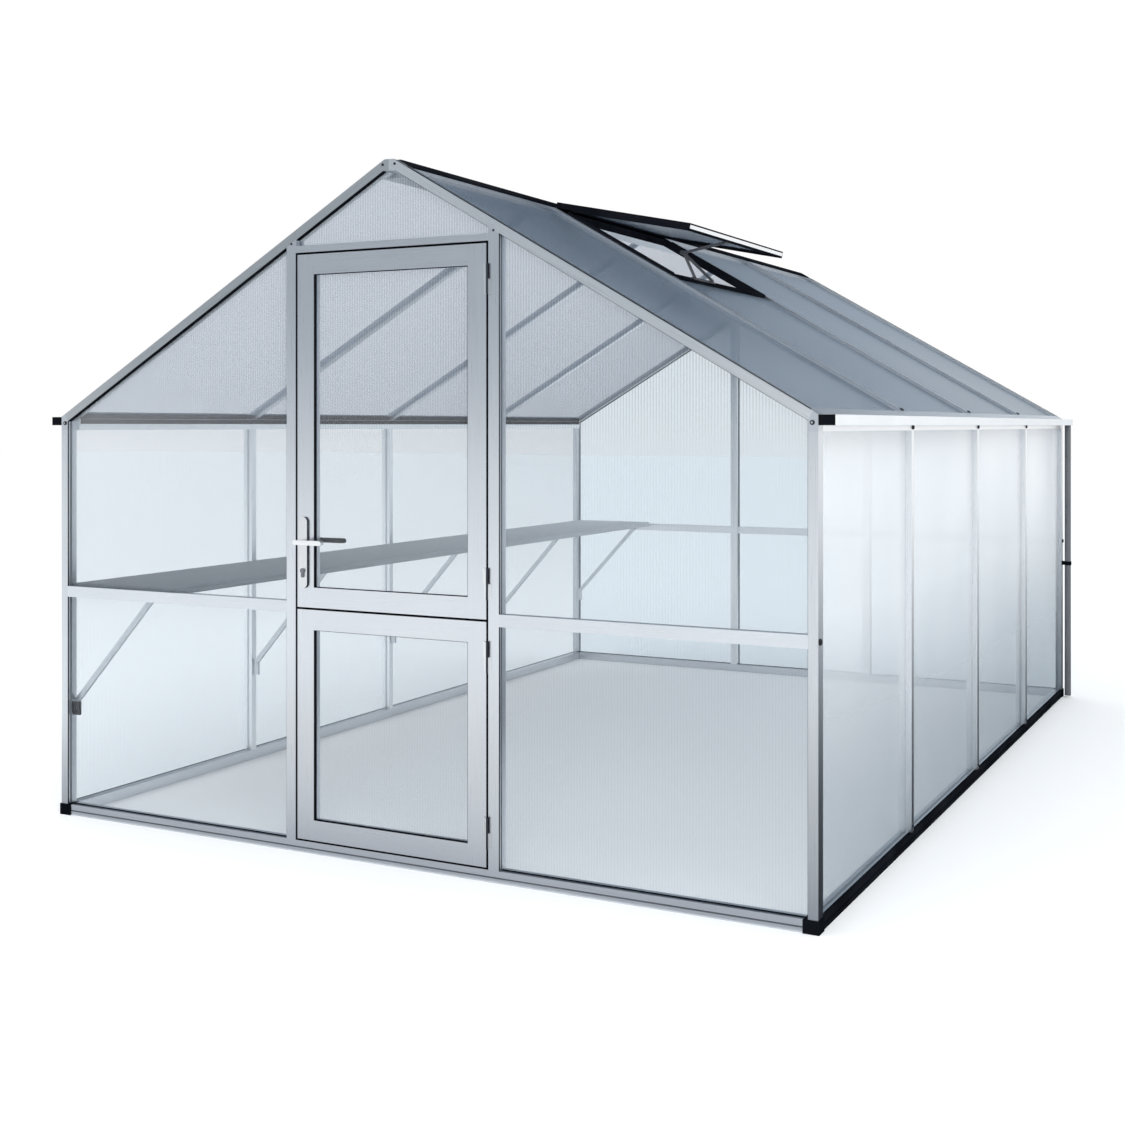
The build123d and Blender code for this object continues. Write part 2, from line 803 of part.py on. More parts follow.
vent_slant = pitch - radians(vent_open_angle)
hinge_along = slope_length - ridge_cap_reach - vent_hinge_gap
vent_hinge_x, vent_hinge_z = slope_point(1, hinge_along, 0)
vent_plane = Plane(
    origin=(vent_hinge_x, vent_middle_y, vent_hinge_z),
    x_dir=(cos(vent_slant), 0, -sin(vent_slant)),
    z_dir=(sin(vent_slant), 0, cos(vent_slant)),
)
with BuildPart() as vent_frame:
    with Locations(vent_plane):
        with Locations((vent_length / 2, 0, vent_frame_thickness / 2)):
            Box(vent_length, vent_width, vent_frame_thickness)
            Box(
                vent_length - 2 * vent_frame_width,
                vent_width - 2 * vent_frame_width,
                vent_frame_thickness,
                mode=Mode.SUBTRACT,
            )
vent_frame.part.label = "vent_frame"
export_step(vent_frame.part, "parts/vent_frame.step")

with BuildPart() as vent_pane:
    with Locations(vent_plane):
        with Locations((vent_length / 2, 0, vent_frame_thickness / 2)):
            Box(
                vent_length - 2 * vent_frame_width,
                vent_width - 2 * vent_frame_width,
                panel_thickness,
            )
vent_pane.part.label = "vent_pane"
export_step(vent_pane.part, "parts/vent_pane.step")

# Opener: two legs from a foot on the curb up to a pivot, and an arm to a knob under the leaf's outer rail
opener_y = vent_start + curb_span * opener_place_share
foot_along = vent_curb_bottom + vent_curb_width / 2
leg_x, leg_z = slope_point(1, foot_along, opener_rod_radius)
knob_along = vent_length - vent_frame_width / 2
knob = Vector(
    vent_hinge_x + knob_along * cos(vent_slant) - opener_knob_radius * sin(vent_slant),
    opener_y + opener_arm_shift,
    vent_hinge_z - knob_along * sin(vent_slant) - opener_knob_radius * cos(vent_slant),
)
pivot = Vector(leg_x - opener_set_back, opener_y, leg_z + (knob.Z - leg_z) * opener_rise_share)


def rod(start, end):
    """Round rod between two points, inside the open block."""
    with BuildSketch(Plane(origin=start, z_dir=end - start)) as section:
        Circle(opener_rod_radius)
    extrude(section.sketch, amount=(end - start).length)


with BuildPart() as vent_opener:
    with Locations(slope_plane(1)):
        with Locations((foot_along, middle_y - opener_y, opener_foot_thickness / 2)):
            Box(opener_foot_width, opener_foot_spread + 2 * opener_foot_margin, opener_foot_thickness)
    for turn in sides:
        rod(Vector(leg_x, opener_y + turn * opener_foot_spread / 2, leg_z), pivot)
    rod(pivot, knob)
    for place, radius in ((pivot, opener_pivot_radius), (knob, opener_knob_radius)):
        with BuildSketch(across(place.Y + opener_pivot_length / 2)):
            with Locations((place.X, place.Z)):
                Circle(radius)
        extrude(amount=opener_pivot_length)
vent_opener.part.label = "vent_opener"
export_step(vent_opener.part, "parts/vent_opener.step")

# Shelf along the left wall on five braces
shelf_back_x = -(half_width - frame_depth)
shelf_length = house_length - 2 * panel_back
shelf_bottom = shelf_height - shelf_thickness
with BuildPart() as shelf:
    with Locations((shelf_back_x + shelf_depth / 2, middle_y, shelf_bottom + shelf_thickness / 2)):
        Box(shelf_depth, shelf_length, shelf_thickness)
shelf.part.label = "shelf"
export_step(shelf.part, "parts/shelf.step")

end_brace_inset = (panel_back + frame_depth) / 2
brace_places = [(front_y + end_brace_inset, -inner_post_x)]
brace_places += [(bar_y, shelf_back_x) for bar_y in bar_ys]
brace_places.append((rear_y - end_brace_inset, -inner_post_x))
with BuildPart() as shelf_braces:
    for brace_y, wall_x in brace_places:
        top_x = shelf_back_x + brace_reach
        lean = atan2(shelf_bottom - brace_foot_height, top_x - wall_x)
        with BuildSketch(across(brace_y + brace_width / 2)):
            with BuildLine():
                Polyline(
                    (wall_x, brace_foot_height),
                    (top_x, shelf_bottom),
                    (top_x - brace_thickness / sin(lean), shelf_bottom),
                    (wall_x, brace_foot_height + brace_thickness / cos(lean)),
                    close=True,
                )
            make_face()
            with Locations((wall_x + brace_shoe_depth / 2, brace_foot_height)):
                Rectangle(brace_shoe_depth, brace_shoe_height)
        extrude(amount=brace_width)
shelf_braces.part.label = "shelf_braces"
export_step(shelf_braces.part, "parts/shelf_braces.step")
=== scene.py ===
# Dressed model of a gabled greenhouse: satin aluminium, black seals and trim, and ribbed twin-wall sheets.
# Metres, in the part's own frame. +X is the right-hand side seen from the door, +Y the rear and +Z up.

import math

import bpy
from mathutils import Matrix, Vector


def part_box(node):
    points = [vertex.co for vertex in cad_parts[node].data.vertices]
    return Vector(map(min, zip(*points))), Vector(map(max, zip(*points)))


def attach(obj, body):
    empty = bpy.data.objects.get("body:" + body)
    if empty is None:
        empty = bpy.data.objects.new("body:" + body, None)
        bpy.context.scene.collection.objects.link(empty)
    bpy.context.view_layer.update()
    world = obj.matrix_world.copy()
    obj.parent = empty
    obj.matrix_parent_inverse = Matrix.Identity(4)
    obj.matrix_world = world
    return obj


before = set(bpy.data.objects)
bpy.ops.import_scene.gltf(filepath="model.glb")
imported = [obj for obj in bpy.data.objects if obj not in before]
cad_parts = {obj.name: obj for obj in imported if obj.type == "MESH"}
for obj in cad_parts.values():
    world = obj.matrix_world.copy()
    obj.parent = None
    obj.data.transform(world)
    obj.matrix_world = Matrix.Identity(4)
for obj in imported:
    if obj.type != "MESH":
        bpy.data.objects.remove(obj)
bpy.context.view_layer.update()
scene = bpy.context.scene
scene.view_settings.view_transform = "Standard"
scene.cycles.transparent_max_bounces = 80
scene.cycles.max_bounces = 6
scene.cycles.diffuse_bounces = 1
scene.cycles.glossy_bounces = 2


def low(node_name):
    """Lowest corner of a node's box."""
    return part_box(node_name)[0]


def high(node_name):
    """Highest corner of a node's box."""
    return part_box(node_name)[1]


# House
half_width = high("corner_posts").x
front_y = low("corner_posts").y
rear_y = high("corner_posts").y
middle_y = (front_y + rear_y) / 2
eave_height = 1.493
ridge_rise = 0.860
pitch = math.atan2(ridge_rise, half_width)
slope_length = math.hypot(half_width, ridge_rise)
bay_count = 4
bay_length = (rear_y - front_y) / bay_count
bar_ys = [front_y + bay_length * step for step in range(1, bay_count)]
rafter_thickness = 0.030
sill_top = high("front_sill").z
rail_bottom = low("front_rails").z
rail_top = high("front_rails").z
post_inner = 1.4415
jamb_outer = high("door_jambs").x
doorway_half = high("door_head").x
head_bottom = low("door_head").z
panel_recess = low("front_panels").y - front_y

# Doors
leaf_half = high("upper_door_frame").x
pane_half = high("upper_door_pane").x
# Limits of the painted shade on the hinges' right-hand side
painted_hinge_shade_range = (0.3800, 0.3855)

# Sheets
fine_pitch = 0.010
wide_pitch = 0.020
web_thickness = 0.0006
web_skin = 0.0006

# Seals and fasteners
seal_proud = 0.001
seal_face_gap = 0.0006
lining_proud = 0.0015
bed_height = 0.0025
bed_depth = 0.004
seal_front_width = 0.005
seal_back_width = 0.007
stop_width = 0.014
stop_near = 0.0365
stop_far = 0.044
gap_shade_thickness = 0.0008
gap_lip = 0.0012
lip_range = (0.0, 0.0004)
leaf_shade_far = 0.0345
meeting_inset = 0.004
meeting_height = 0.003
meeting_depth = (-0.030, -0.012)

# Black strips: painted shade along the eaves, thin strips on the rafters
eave_inner = 1.4275
eave_strip_thickness = 0.0012
eave_strip_rise = (0.023, 0.063)
eave_strip_inset = 0.05
rafter_strip_place = (0.008, 0.017)
rafter_strip_foot = 0.03
rafter_strip_head = 0.075
rafter_strip_heights = (-0.0005, 0.001)

# Vent trim
upstand_head = 0.125
upstand_foot_height = -0.008
front_upstand = (0.014, 0.011)
rear_upstand = (0.006, 0.004)
skirt_width = 0.012
skirt_drop = 0.007
skirt_length = 0.50
leaf_strip_inset = 0.006
leaf_strip_thickness = 0.0008
leaf_strip_rise = (0.002, 0.016)

# Groove filler of the end sills
groove_inset = 0.04
groove_heights = (0.0152, 0.0198)
groove_depths = (-0.0048, -0.0035)

# Screws: radii, and how far each lies from the edge it is measured from
bracket_screw_radius = 0.0075
bracket_screw_inset = 0.018
bracket_screw_drop = 0.024
bolt_centre = [(0.003, 0.0), (0.003, 0.0045)]
ridge_screw_radius = 0.0045
ridge_screw_along = 0.018
ridge_screw_shift = 0.008
ridge_screw_drop = 0.018
jamb_screw_radius = 0.004
jamb_screw_drop = 0.013
bar_top_screw_radius = 0.009
bar_top_screw_rise = 0.012
bar_foot_screw_radius = 0.0055
bar_foot_screw_rise = 0.02
rail_screw_radius = 0.010
rail_screw_inset = 0.015
roof_screw_radius = 0.008
roof_screw_rise = 0.045

# Limits of the painted shade: the first brace's shoe, the side sills' outer face, and the lever behind the
# front face
shoe_edge = -1.4005
shoe_top = 0.4205
shoe_reach = 0.2
sill_face_depth = 0.012
front_face_depth = 0.01

# Camera, level, at the photograph's viewing angle
camera_place = Vector((2.7962, -6.2787, 1.4607))
camera_yaw = 0.476802
picture_pixels = 1125
focal_pixels = 1502.82
horizon_pixel = 425.33
sensor_mm = 36.0

x_axis = Vector((1, 0, 0))
y_axis = Vector((0, 1, 0))
z_axis = Vector((0, 0, 1))
sides = (-1, 1)


class Place:
    """A place to build from: an origin with right, up and out axes."""

    def __init__(self, origin, right, up):
        self.origin = Vector(origin)
        self.right = Vector(right).normalized()
        self.up = Vector(up).normalized()
        self.out = self.right.cross(self.up)

    def at(self, u, v, w):
        return self.origin + self.right * u + self.up * v + self.out * w


def slope_place(side):
    """A roof slope: origin at its eave by the middle of the house, up towards the ridge, out of the roof."""
    up = Vector((-side * math.cos(pitch), 0, math.sin(pitch)))
    return Place((side * half_width, middle_y, eave_height), y_axis * side, up)


front = Place((0, front_y, 0), x_axis, z_axis)
rear = Place((0, rear_y, 0), -x_axis, z_axis)
right_wall = Place((half_width, middle_y, 0), y_axis, z_axis)
left_wall = Place((-half_width, middle_y, 0), -y_axis, z_axis)
ends = {"front": front, "rear": rear}
slopes = {"left": slope_place(-1), "right": slope_place(1)}


def rafter_underside(x):
    """Height of the rafters' lower face at a distance X from the middle."""
    return eave_height + (half_width - abs(x)) * math.tan(pitch) - rafter_thickness / math.cos(pitch)


class Shape:
    """Points and faces of one mesh, gathered piece by piece."""

    def __init__(self):
        self.points = []
        self.faces = []

    def prism(self, place, outline, near, far):
        """Straight prism: an outline of (u, v) points between two heights along the place's out axis."""
        area = sum(a[0] * b[1] - b[0] * a[1] for a, b in zip(outline, outline[1:] + outline[:1]))
        if area < 0:
            outline = outline[::-1]
        start = len(self.points)
        count = len(outline)
        self.points += [place.at(u, v, near) for u, v in outline]
        self.points += [place.at(u, v, far) for u, v in outline]
        self.faces.append([start + step for step in reversed(range(count))])
        self.faces.append([start + count + step for step in range(count)])
        for step in range(count):
            after = (step + 1) % count
            self.faces.append([start + step, start + after, start + count + after, start + count + step])

    def block(self, place, u_range, v_range, w_range):
        """Block between two values along each axis of a place."""
        u_low, u_high = sorted(u_range)
        v_low, v_high = sorted(v_range)
        outline = [(u_low, v_low), (u_high, v_low), (u_high, v_high), (u_low, v_high)]
        self.prism(place, outline, *sorted(w_range))

    def frame(self, place, u_range, v_range, w_range, band):
        """Four blocks that line the inside of a rectangle with a band."""
        u_low, u_high = u_range
        v_low, v_high = v_range
        self.block(place, (u_low, u_low + band), v_range, w_range)
        self.block(place, (u_high - band, u_high), v_range, w_range)
        self.block(place, (u_low + band, u_high - band), (v_low, v_low + band), w_range)
        self.block(place, (u_low + band, u_high - band), (v_high - band, v_high), w_range)

    def turned(self, place, u, v, profile, segments=16):
        """Turned piece round the out axis at (u, v), capped: a profile of (radius, height) points."""
        start = len(self.points)
        for radius, height in profile:
            for step in range(segments):
                angle = 2 * math.pi * step / segments
                across = u + radius * math.cos(angle)
                self.points.append(place.at(across, v + radius * math.sin(angle), height))
        for ring in range(len(profile) - 1):
            for step in range(segments):
                after = (step + 1) % segments
                first = start + ring * segments
                second = first + segments
                self.faces.append([first + step, first + after, second + after, second + step])
        last = start + (len(profile) - 1) * segments
        self.faces.append([start + step for step in reversed(range(segments))])
        self.faces.append([last + step for step in range(segments)])

    def screw(self, place, u, v, radius, base=0.0):
        """Pan-head screw with a round socket, seated at a height along the out axis."""
        top = radius * 0.55
        profile = [(radius, base - radius * 0.3), (radius, base + top * 0.45), (radius * 0.82, base + top)]
        profile += [(radius * 0.45, base + top), (radius * 0.4, base + top * 0.35)]
        self.turned(place, u, v, profile)


def node(tree, kind, inputs=None, **settings):
    """Adds a shader node. Inputs are values or sockets, by name or number. Settings are the node's own."""
    made = tree.nodes.new(kind)
    for name, value in settings.items():
        setattr(made, name, value)
    for key, value in (inputs or {}).items():
        if isinstance(value, bpy.types.NodeSocket):
            tree.links.new(value, made.inputs[key])
        else:
            made.inputs[key].default_value = value
    return made


def new_tree(name):
    """A new material with an empty node tree."""
    material = bpy.data.materials.new(name)
    material.use_nodes = True
    material.node_tree.nodes.clear()
    return material, material.node_tree


def output(tree, shader):
    node(tree, "ShaderNodeOutputMaterial", {"Surface": shader.outputs[0]})


def ramp(tree, factor, stops):
    """Colour ramp over a factor. Stops are (place, colour) pairs."""
    made = node(tree, "ShaderNodeValToRGB", {"Fac": factor})
    elements = made.color_ramp.elements
    while len(elements) < len(stops):
        elements.new(0.5)
    for element, (place, colour) in zip(elements, stops):
        element.position = place
        element.color = (*colour, 1.0)
    return made.outputs["Color"]


def spread(tree, value, low_value, high_value):
    """A 0 to 1 value spread over another range."""
    made = node(tree, "ShaderNodeMapRange", {"Value": value, "To Min": low_value, "To Max": high_value})
    return made.outputs["Result"]


def calculate(tree, operation, *values):
    """A sum over values or sockets."""
    return node(tree, "ShaderNodeMath", dict(enumerate(values)), operation=operation).outputs[0]


def blend(tree, factor, first, second):
    """Blend of two colours by a factor."""
    return node(tree, "ShaderNodeMix", {0: factor, 6: first, 7: second}, data_type="RGBA").outputs[2]


def spot(tree):
    """A point's place in the part's own frame."""
    return node(tree, "ShaderNodeTexCoord").outputs["Object"]


def along(tree, axis):
    """A point's distance along one axis, named X, Y or Z."""
    return node(tree, "ShaderNodeSeparateXYZ", {0: spot(tree)}).outputs[axis]


def off_middle(tree):
    """A point's distance left or right of the middle."""
    return calculate(tree, "ABSOLUTE", along(tree, "X"))


def noise(tree, scale, detail=3.0, stretch=None, slope=False):
    """Noise in object space, stretched along a piece. On a slope it follows both sides of the roof."""
    place = spot(tree)
    if slope:
        mirrored = node(tree, "ShaderNodeVectorMath", {0: place}, operation="ABSOLUTE").outputs[0]
        turned = {"Vector": mirrored, "Rotation": (0.0, -pitch, 0.0)}
        place = node(tree, "ShaderNodeMapping", turned).outputs[0]
    if stretch:
        place = node(tree, "ShaderNodeMapping", {"Vector": place, "Scale": stretch}).outputs[0]
    made = node(tree, "ShaderNodeTexNoise", {"Vector": place, "Scale": scale, "Detail": detail})
    return made.outputs["Fac"]


def bump(tree, height, distance, strength=1.0):
    made = node(tree, "ShaderNodeBump", {"Height": height, "Distance": distance, "Strength": strength})
    return made.outputs["Normal"]


line_scale = 420.0
line_detail = 4.0
grain_stretch = {"x": (0.012, 1.0, 1.0), "y": (1.0, 0.012, 1.0), "z": (1.0, 1.0, 0.012)}


def drawn_lines(tree, grain):
    """Fine drawn lines along an axis, along the roof slopes, or round the frame of a door leaf."""
    if grain == "slope":
        return noise(tree, line_scale, line_detail, grain_stretch["x"], True)
    if grain == "leaf":
        rail = calculate(tree, "LESS_THAN", off_middle(tree), pane_half)
        upright = noise(tree, line_scale, line_detail, grain_stretch["z"])
        level = noise(tree, line_scale, line_detail, grain_stretch["x"])
        return node(tree, "ShaderNodeMix", {0: rail, 2: upright, 3: level}).outputs[0]
    return noise(tree, line_scale, line_detail, grain_stretch[grain])


def aluminium(name, grain, dark=(0.665, 0.69, 0.73), light=(0.735, 0.76, 0.795)):
    """Satin anodised aluminium with drawn lines and a broad, cloudy change of tone."""
    material, tree = new_tree(name)
    lines = drawn_lines(tree, grain)
    broad = noise(tree, 2.2, 3.0)
    tone = calculate(tree, "MULTIPLY_ADD", lines, broad, 0.18)
    shader = node(tree, "ShaderNodeBsdfPrincipled", {
        "Base Color": ramp(tree, tone, [(0.25, dark), (0.62, light)]),
        "Metallic": 1.0,
        "Roughness": spread(tree, lines, 0.24, 0.34),
        "Normal": bump(tree, lines, 0.0002, 0.25),
    })
    output(tree, shader)
    return material


# Dark tones of painted shade for the two-tone parts
painted_shade_black = ((0.006, 0.007, 0.010), (0.013, 0.015, 0.019))
painted_shade_grey = ((0.030, 0.036, 0.046), (0.050, 0.058, 0.070))


def two_tone(name, grain, shade_here, dark=(0.665, 0.69, 0.73), light=(0.735, 0.76, 0.795), shade_tones=painted_shade_black):
    """Satin aluminium with painted shade: a dark colour on the part that a test picks out."""
    material, tree = new_tree(name)
    shade_share = shade_here(tree)
    lines = drawn_lines(tree, grain)
    broad = noise(tree, 5.0, 3.0)
    metal_colour = ramp(tree, lines, [(0.3, dark), (0.7, light)])
    shade_colour = ramp(tree, broad, [(0.3, shade_tones[0]), (0.75, shade_tones[1])])
    shader = node(tree, "ShaderNodeBsdfPrincipled", {
        "Base Color": blend(tree, shade_share, metal_colour, shade_colour),
        "Metallic": calculate(tree, "SUBTRACT", 1.0, shade_share),
        "Roughness": spread(tree, shade_share, 0.28, 0.6),
        "Specular IOR Level": 0.0,
        "Normal": bump(tree, lines, 0.0002, 0.25),
    })
    output(tree, shader)
    return material


def painted_sill_shade(tree):
    """1 on the outer face of the side sills, which gets painted shade."""
    return calculate(tree, "GREATER_THAN", off_middle(tree), half_width - sill_face_depth)


def painted_hinge_shade(tree):
    """1 on a narrow upright strip at the right-hand side of the hinges, painted with the shade of the
    barrel's far side.
    """
    beyond = calculate(tree, "GREATER_THAN", along(tree, "X"), painted_hinge_shade_range[0])
    before = calculate(tree, "LESS_THAN", along(tree, "X"), painted_hinge_shade_range[1])
    return calculate(tree, "MULTIPLY", beyond, before)


def ridge_beam_shade(tree):
    """1 on the sides and top of the ridge beam, off its ends and underside: painted shade on its side faces.
    """
    facing = node(tree, "ShaderNodeTexCoord").outputs["Normal"]
    parts = node(tree, "ShaderNodeSeparateXYZ", {0: facing}).outputs
    lengthwise = calculate(tree, "LESS_THAN", calculate(tree, "ABSOLUTE", parts["Y"]), 0.5)
    return calculate(tree, "MULTIPLY", lengthwise, calculate(tree, "GREATER_THAN", parts["Z"], -0.3))


def plate_rim_shade(tree):
    """1 on the rim of the handle plates, off their flat faces: painted shade on the plates' sides."""
    facing = node(tree, "ShaderNodeTexCoord").outputs["Normal"]
    depthwise = node(tree, "ShaderNodeSeparateXYZ", {0: facing}).outputs["Y"]
    return calculate(tree, "LESS_THAN", calculate(tree, "ABSOLUTE", depthwise), 0.7)


def inner_lever_shade(tree):
    """1 behind the front wall's face, where the lever is painted dark as shade against the light."""
    return calculate(tree, "GREATER_THAN", along(tree, "Y"), front_y + front_face_depth)


def brace_shoe_shade(tree):
    """1 on the shoe that holds the first of the shelf's braces to the wall, painted with shade."""
    near_wall = calculate(tree, "LESS_THAN", along(tree, "X"), shoe_edge)
    low_down = calculate(tree, "LESS_THAN", along(tree, "Z"), shoe_top)
    first = calculate(tree, "LESS_THAN", along(tree, "Y"), front_y + shoe_reach)
    return calculate(tree, "MULTIPLY", first, calculate(tree, "MULTIPLY", near_wall, low_down))


def graded(name, grain, share_here, start, end, rough=0.28, metallic=1.0):
    """Metal or paint with drawn lines. Its tone runs from one colour to another with a share from 0 to 1."""
    material, tree = new_tree(name)
    lines = drawn_lines(tree, grain)
    broad = noise(tree, 2.2, 3.0)
    share = calculate(tree, "MULTIPLY_ADD", calculate(tree, "SUBTRACT", lines, 0.5), broad, share_here(tree))
    shader = node(tree, "ShaderNodeBsdfPrincipled", {
        "Base Color": ramp(tree, share, [(0.0, start), (1.0, end)]),
        "Metallic": metallic,
        "Roughness": spread(tree, lines, rough - 0.04, rough + 0.06),
        "Specular IOR Level": 0.2,
        "Normal": bump(tree, lines, 0.0002, 0.25),
    })
    output(tree, shader)
    return material


def share_between(tree, axis, start, end):
    """A point's share of the way between two places along an axis."""
    made = node(tree, "ShaderNodeMapRange", {"Value": along(tree, axis), "From Min": start, "From Max": end})
    return made.outputs["Result"]


def painted_light_right(tree):
    """Runs from 0.1 at the left-hand side to 0.9 at the right-hand side, with a step in the middle: painted
    shade on the left, painted light on the right.
    """
    return spread(tree, calculate(tree, "GREATER_THAN", along(tree, "X"), 0.0), 0.1, 0.9)


def post_painted_shade(tree):
    """Runs up the corner posts, with painted shade at the foot of the right-hand ones."""
    rise = share_between(tree, "Z", -0.4, 1.4)
    left = calculate(tree, "LESS_THAN", along(tree, "X"), 0.0)
    return calculate(tree, "MAXIMUM", rise, calculate(tree, "MULTIPLY", left, 0.7))


def lit_towards_rear(tree):
    """Runs from the front wall to the rear wall: painted shade at the shelf's front, lighter towards the
    rear.
    """
    return share_between(tree, "Y", front_y, rear_y)


def coated(name, colour, lighter, rough, grain_scale, depth, shine=0.5):
    """Painted or moulded surface with a fine grain, a soft sheen and slightly worn tone."""
    material, tree = new_tree(name)
    fine = noise(tree, grain_scale, 2.0)
    broad = noise(tree, 5.0, 3.0)
    shader = node(tree, "ShaderNodeBsdfPrincipled", {
        "Base Color": ramp(tree, broad, [(0.3, colour), (0.75, lighter)]),
        "Roughness": spread(tree, broad, rough - 0.06, rough + 0.10),
        "Specular IOR Level": shine,
        "Normal": bump(tree, fine, depth, 0.4),
    })
    output(tree, shader)
    return material


def seen_directly(tree):
    """1 for camera, glossy and transmission rays, and 0 for the rays that carry light."""
    path = node(tree, "ShaderNodeLightPath").outputs
    shiny = calculate(tree, "MAXIMUM", path["Is Camera Ray"], path["Is Glossy Ray"])
    return calculate(tree, "MAXIMUM", shiny, path["Is Transmission Ray"])


def sheet(name, foot_shade, colour, lighter, clear, veil, gain, low_gain, power, shine, cloud_scale, light_loss):
    """Twin-wall plastic skin: see-through, with a cloudy veil that thickens at a glancing view.

    The veil thickens towards the eaves too, as painted light on the upper walls, and near the floor it takes
    a painted shade colour, the floor's shade as reflected.
    The webs let all light by, so each skin holds back their share of it as well.
    """
    material, tree = new_tree(name)
    clouds = noise(tree, cloud_scale, 1.0)
    glance = node(tree, "ShaderNodeLayerWeight").outputs["Facing"]
    steep = calculate(tree, "POWER", glance, power)
    rise = node(tree, "ShaderNodeMapRange", {
        "Value": along(tree, "Z"), "From Min": 0.0, "From Max": eave_height,
        "To Min": low_gain, "To Max": gain,
    }).outputs["Result"]
    fog = calculate(tree, "MULTIPLY_ADD", steep, rise, spread(tree, clouds, veil * 0.6, veil * 1.4))
    held = spread(tree, seen_directly(tree), light_loss, 0.0)
    through = node(tree, "ShaderNodeBsdfTransparent", {"Color": (*clear, 1.0)})
    high_up = share_between(tree, "Z", 0.1, 0.9)
    tone = ramp(tree, clouds, [(0.32, colour), (0.68, lighter)])
    surface = node(tree, "ShaderNodeBsdfPrincipled", {
        "Base Color": blend(tree, high_up, (*foot_shade, 1.0), tone),
        "Roughness": spread(tree, clouds, 0.18, 0.30),
        "Specular IOR Level": shine,
    })
    share = calculate(tree, "ADD", fog, held)
    output(tree, node(tree, "ShaderNodeMixShader", {0: share, 1: through.outputs[0], 2: surface.outputs[0]}))
    return material


def web_sheet(name, colour, low_veil, high_veil):
    """Inner webs of a twin-wall sheet: mostly see-through, with one veil below the eaves and one above."""
    material, tree = new_tree(name)
    rise = node(tree, "ShaderNodeMapRange", {
        "Value": along(tree, "Z"), "From Min": eave_height - 0.1, "From Max": eave_height + 0.1,
        "To Min": low_veil, "To Max": high_veil,
    }).outputs["Result"]
    through = node(tree, "ShaderNodeBsdfTransparent")
    surface = node(tree, "ShaderNodeBsdfDiffuse", {"Color": (*colour, 1.0)})
    output(tree, node(tree, "ShaderNodeMixShader", {0: rise, 1: through.outputs[0], 2: surface.outputs[0]}))
    return material


# Materials
# Lighter and darker copies of the aluminium for some parts: painted light and painted shade
painted_light_metal = {"dark": (0.87, 0.885, 0.90), "light": (0.94, 0.95, 0.96)}
painted_shade_metal = {"dark": (0.64, 0.67, 0.71), "light": (0.71, 0.74, 0.78)}
metal_upright = aluminium("aluminium_upright", "z")
metal_leaf = aluminium("aluminium_leaf", "leaf")
metal_across = aluminium("aluminium_across", "x")
metal_bar = aluminium("aluminium_bar", "z", **painted_light_metal)
metal_rail = aluminium("aluminium_rail", "x", **painted_shade_metal)
metal_rear_rail = aluminium("aluminium_rear_rail", "x", **painted_light_metal)
metal_slope = aluminium("aluminium_slope", "slope")
metal_rafter = graded("aluminium_rafter", "slope", painted_light_right, (0.55, 0.57, 0.59), (0.83, 0.85, 0.87))
metal_post = graded("aluminium_post", "z", post_painted_shade, (0.36, 0.385, 0.42), (0.73, 0.755, 0.785))
metal_bracket = aluminium("aluminium_bracket", "z", **painted_shade_metal)
metal_eave = aluminium("aluminium_eave", "y", **painted_light_metal)
gutter_metal = coated("gutter_white", (0.74, 0.77, 0.79), (0.82, 0.84, 0.855), 0.38, 300.0, 0.0002)
# Black as painted shade on the ridge cap and on the vent's curb, frame and trim, standing in for shaded
# aluminium
shaded_black_metal = coated(
    "painted_shade_black_metal", (0.005, 0.006, 0.009), (0.012, 0.014, 0.018), 0.62, 900.0, 0.0002, 0.0,
)
black_plastic = coated(
    "black_plastic", (0.003, 0.004, 0.006), (0.008, 0.009, 0.012), 0.62, 700.0, 0.0003, 0.0,
)
rubber = coated("black_rubber", (0.006, 0.007, 0.010), (0.013, 0.015, 0.019), 0.65, 500.0, 0.0003, 0.0)
grey_seal = coated("grey_seal", (0.10, 0.115, 0.135), (0.16, 0.175, 0.195), 0.55, 500.0, 0.0003)
pipe_paint = coated("anthracite_pipe", (0.12, 0.13, 0.145), (0.16, 0.17, 0.185), 0.36, 600.0, 0.0002)
shelf_paint = graded("shelf_grey", "y", lit_towards_rear, (0.19, 0.215, 0.24), (0.78, 0.81, 0.83), 0.55, 0.0)
lock_paint = coated("lock_grey", (0.10, 0.11, 0.125), (0.16, 0.17, 0.185), 0.34, 600.0, 0.0002)
screw_metal = coated("screw_dark", (0.010, 0.012, 0.016), (0.025, 0.028, 0.034), 0.4, 600.0, 0.0002, 0.2)
sill_metal = two_tone("side_sill", "y", painted_sill_shade)
hinge_metal = two_tone("hinge", "z", painted_hinge_shade, (0.74, 0.755, 0.77), (0.82, 0.83, 0.84), painted_shade_grey)
plate_metal = two_tone("handle_plate", "z", plate_rim_shade, (0.70, 0.715, 0.73), (0.78, 0.79, 0.80), painted_shade_grey)
lever_metal = two_tone("lever", "x", inner_lever_shade, (0.86, 0.87, 0.88), (0.93, 0.935, 0.94))
brace_metal = two_tone("shelf_brace", "x", brace_shoe_shade, (0.55, 0.575, 0.60), (0.66, 0.685, 0.71))
beam_metal = two_tone("ridge_beam", "y", ridge_beam_shade)
opener_metal = coated("opener_grey", (0.030, 0.034, 0.042), (0.10, 0.108, 0.12), 0.34, 600.0, 0.0002)
wall_sheet = sheet(
    "twin_wall_clear", (0.82, 0.86, 0.90), (0.86, 0.895, 0.93), (0.93, 0.95, 0.97), (0.935, 0.948, 0.958),
    veil=0.02, gain=0.75, low_gain=0.10, power=2.2, shine=0.2, cloud_scale=1.6, light_loss=0.04,
)
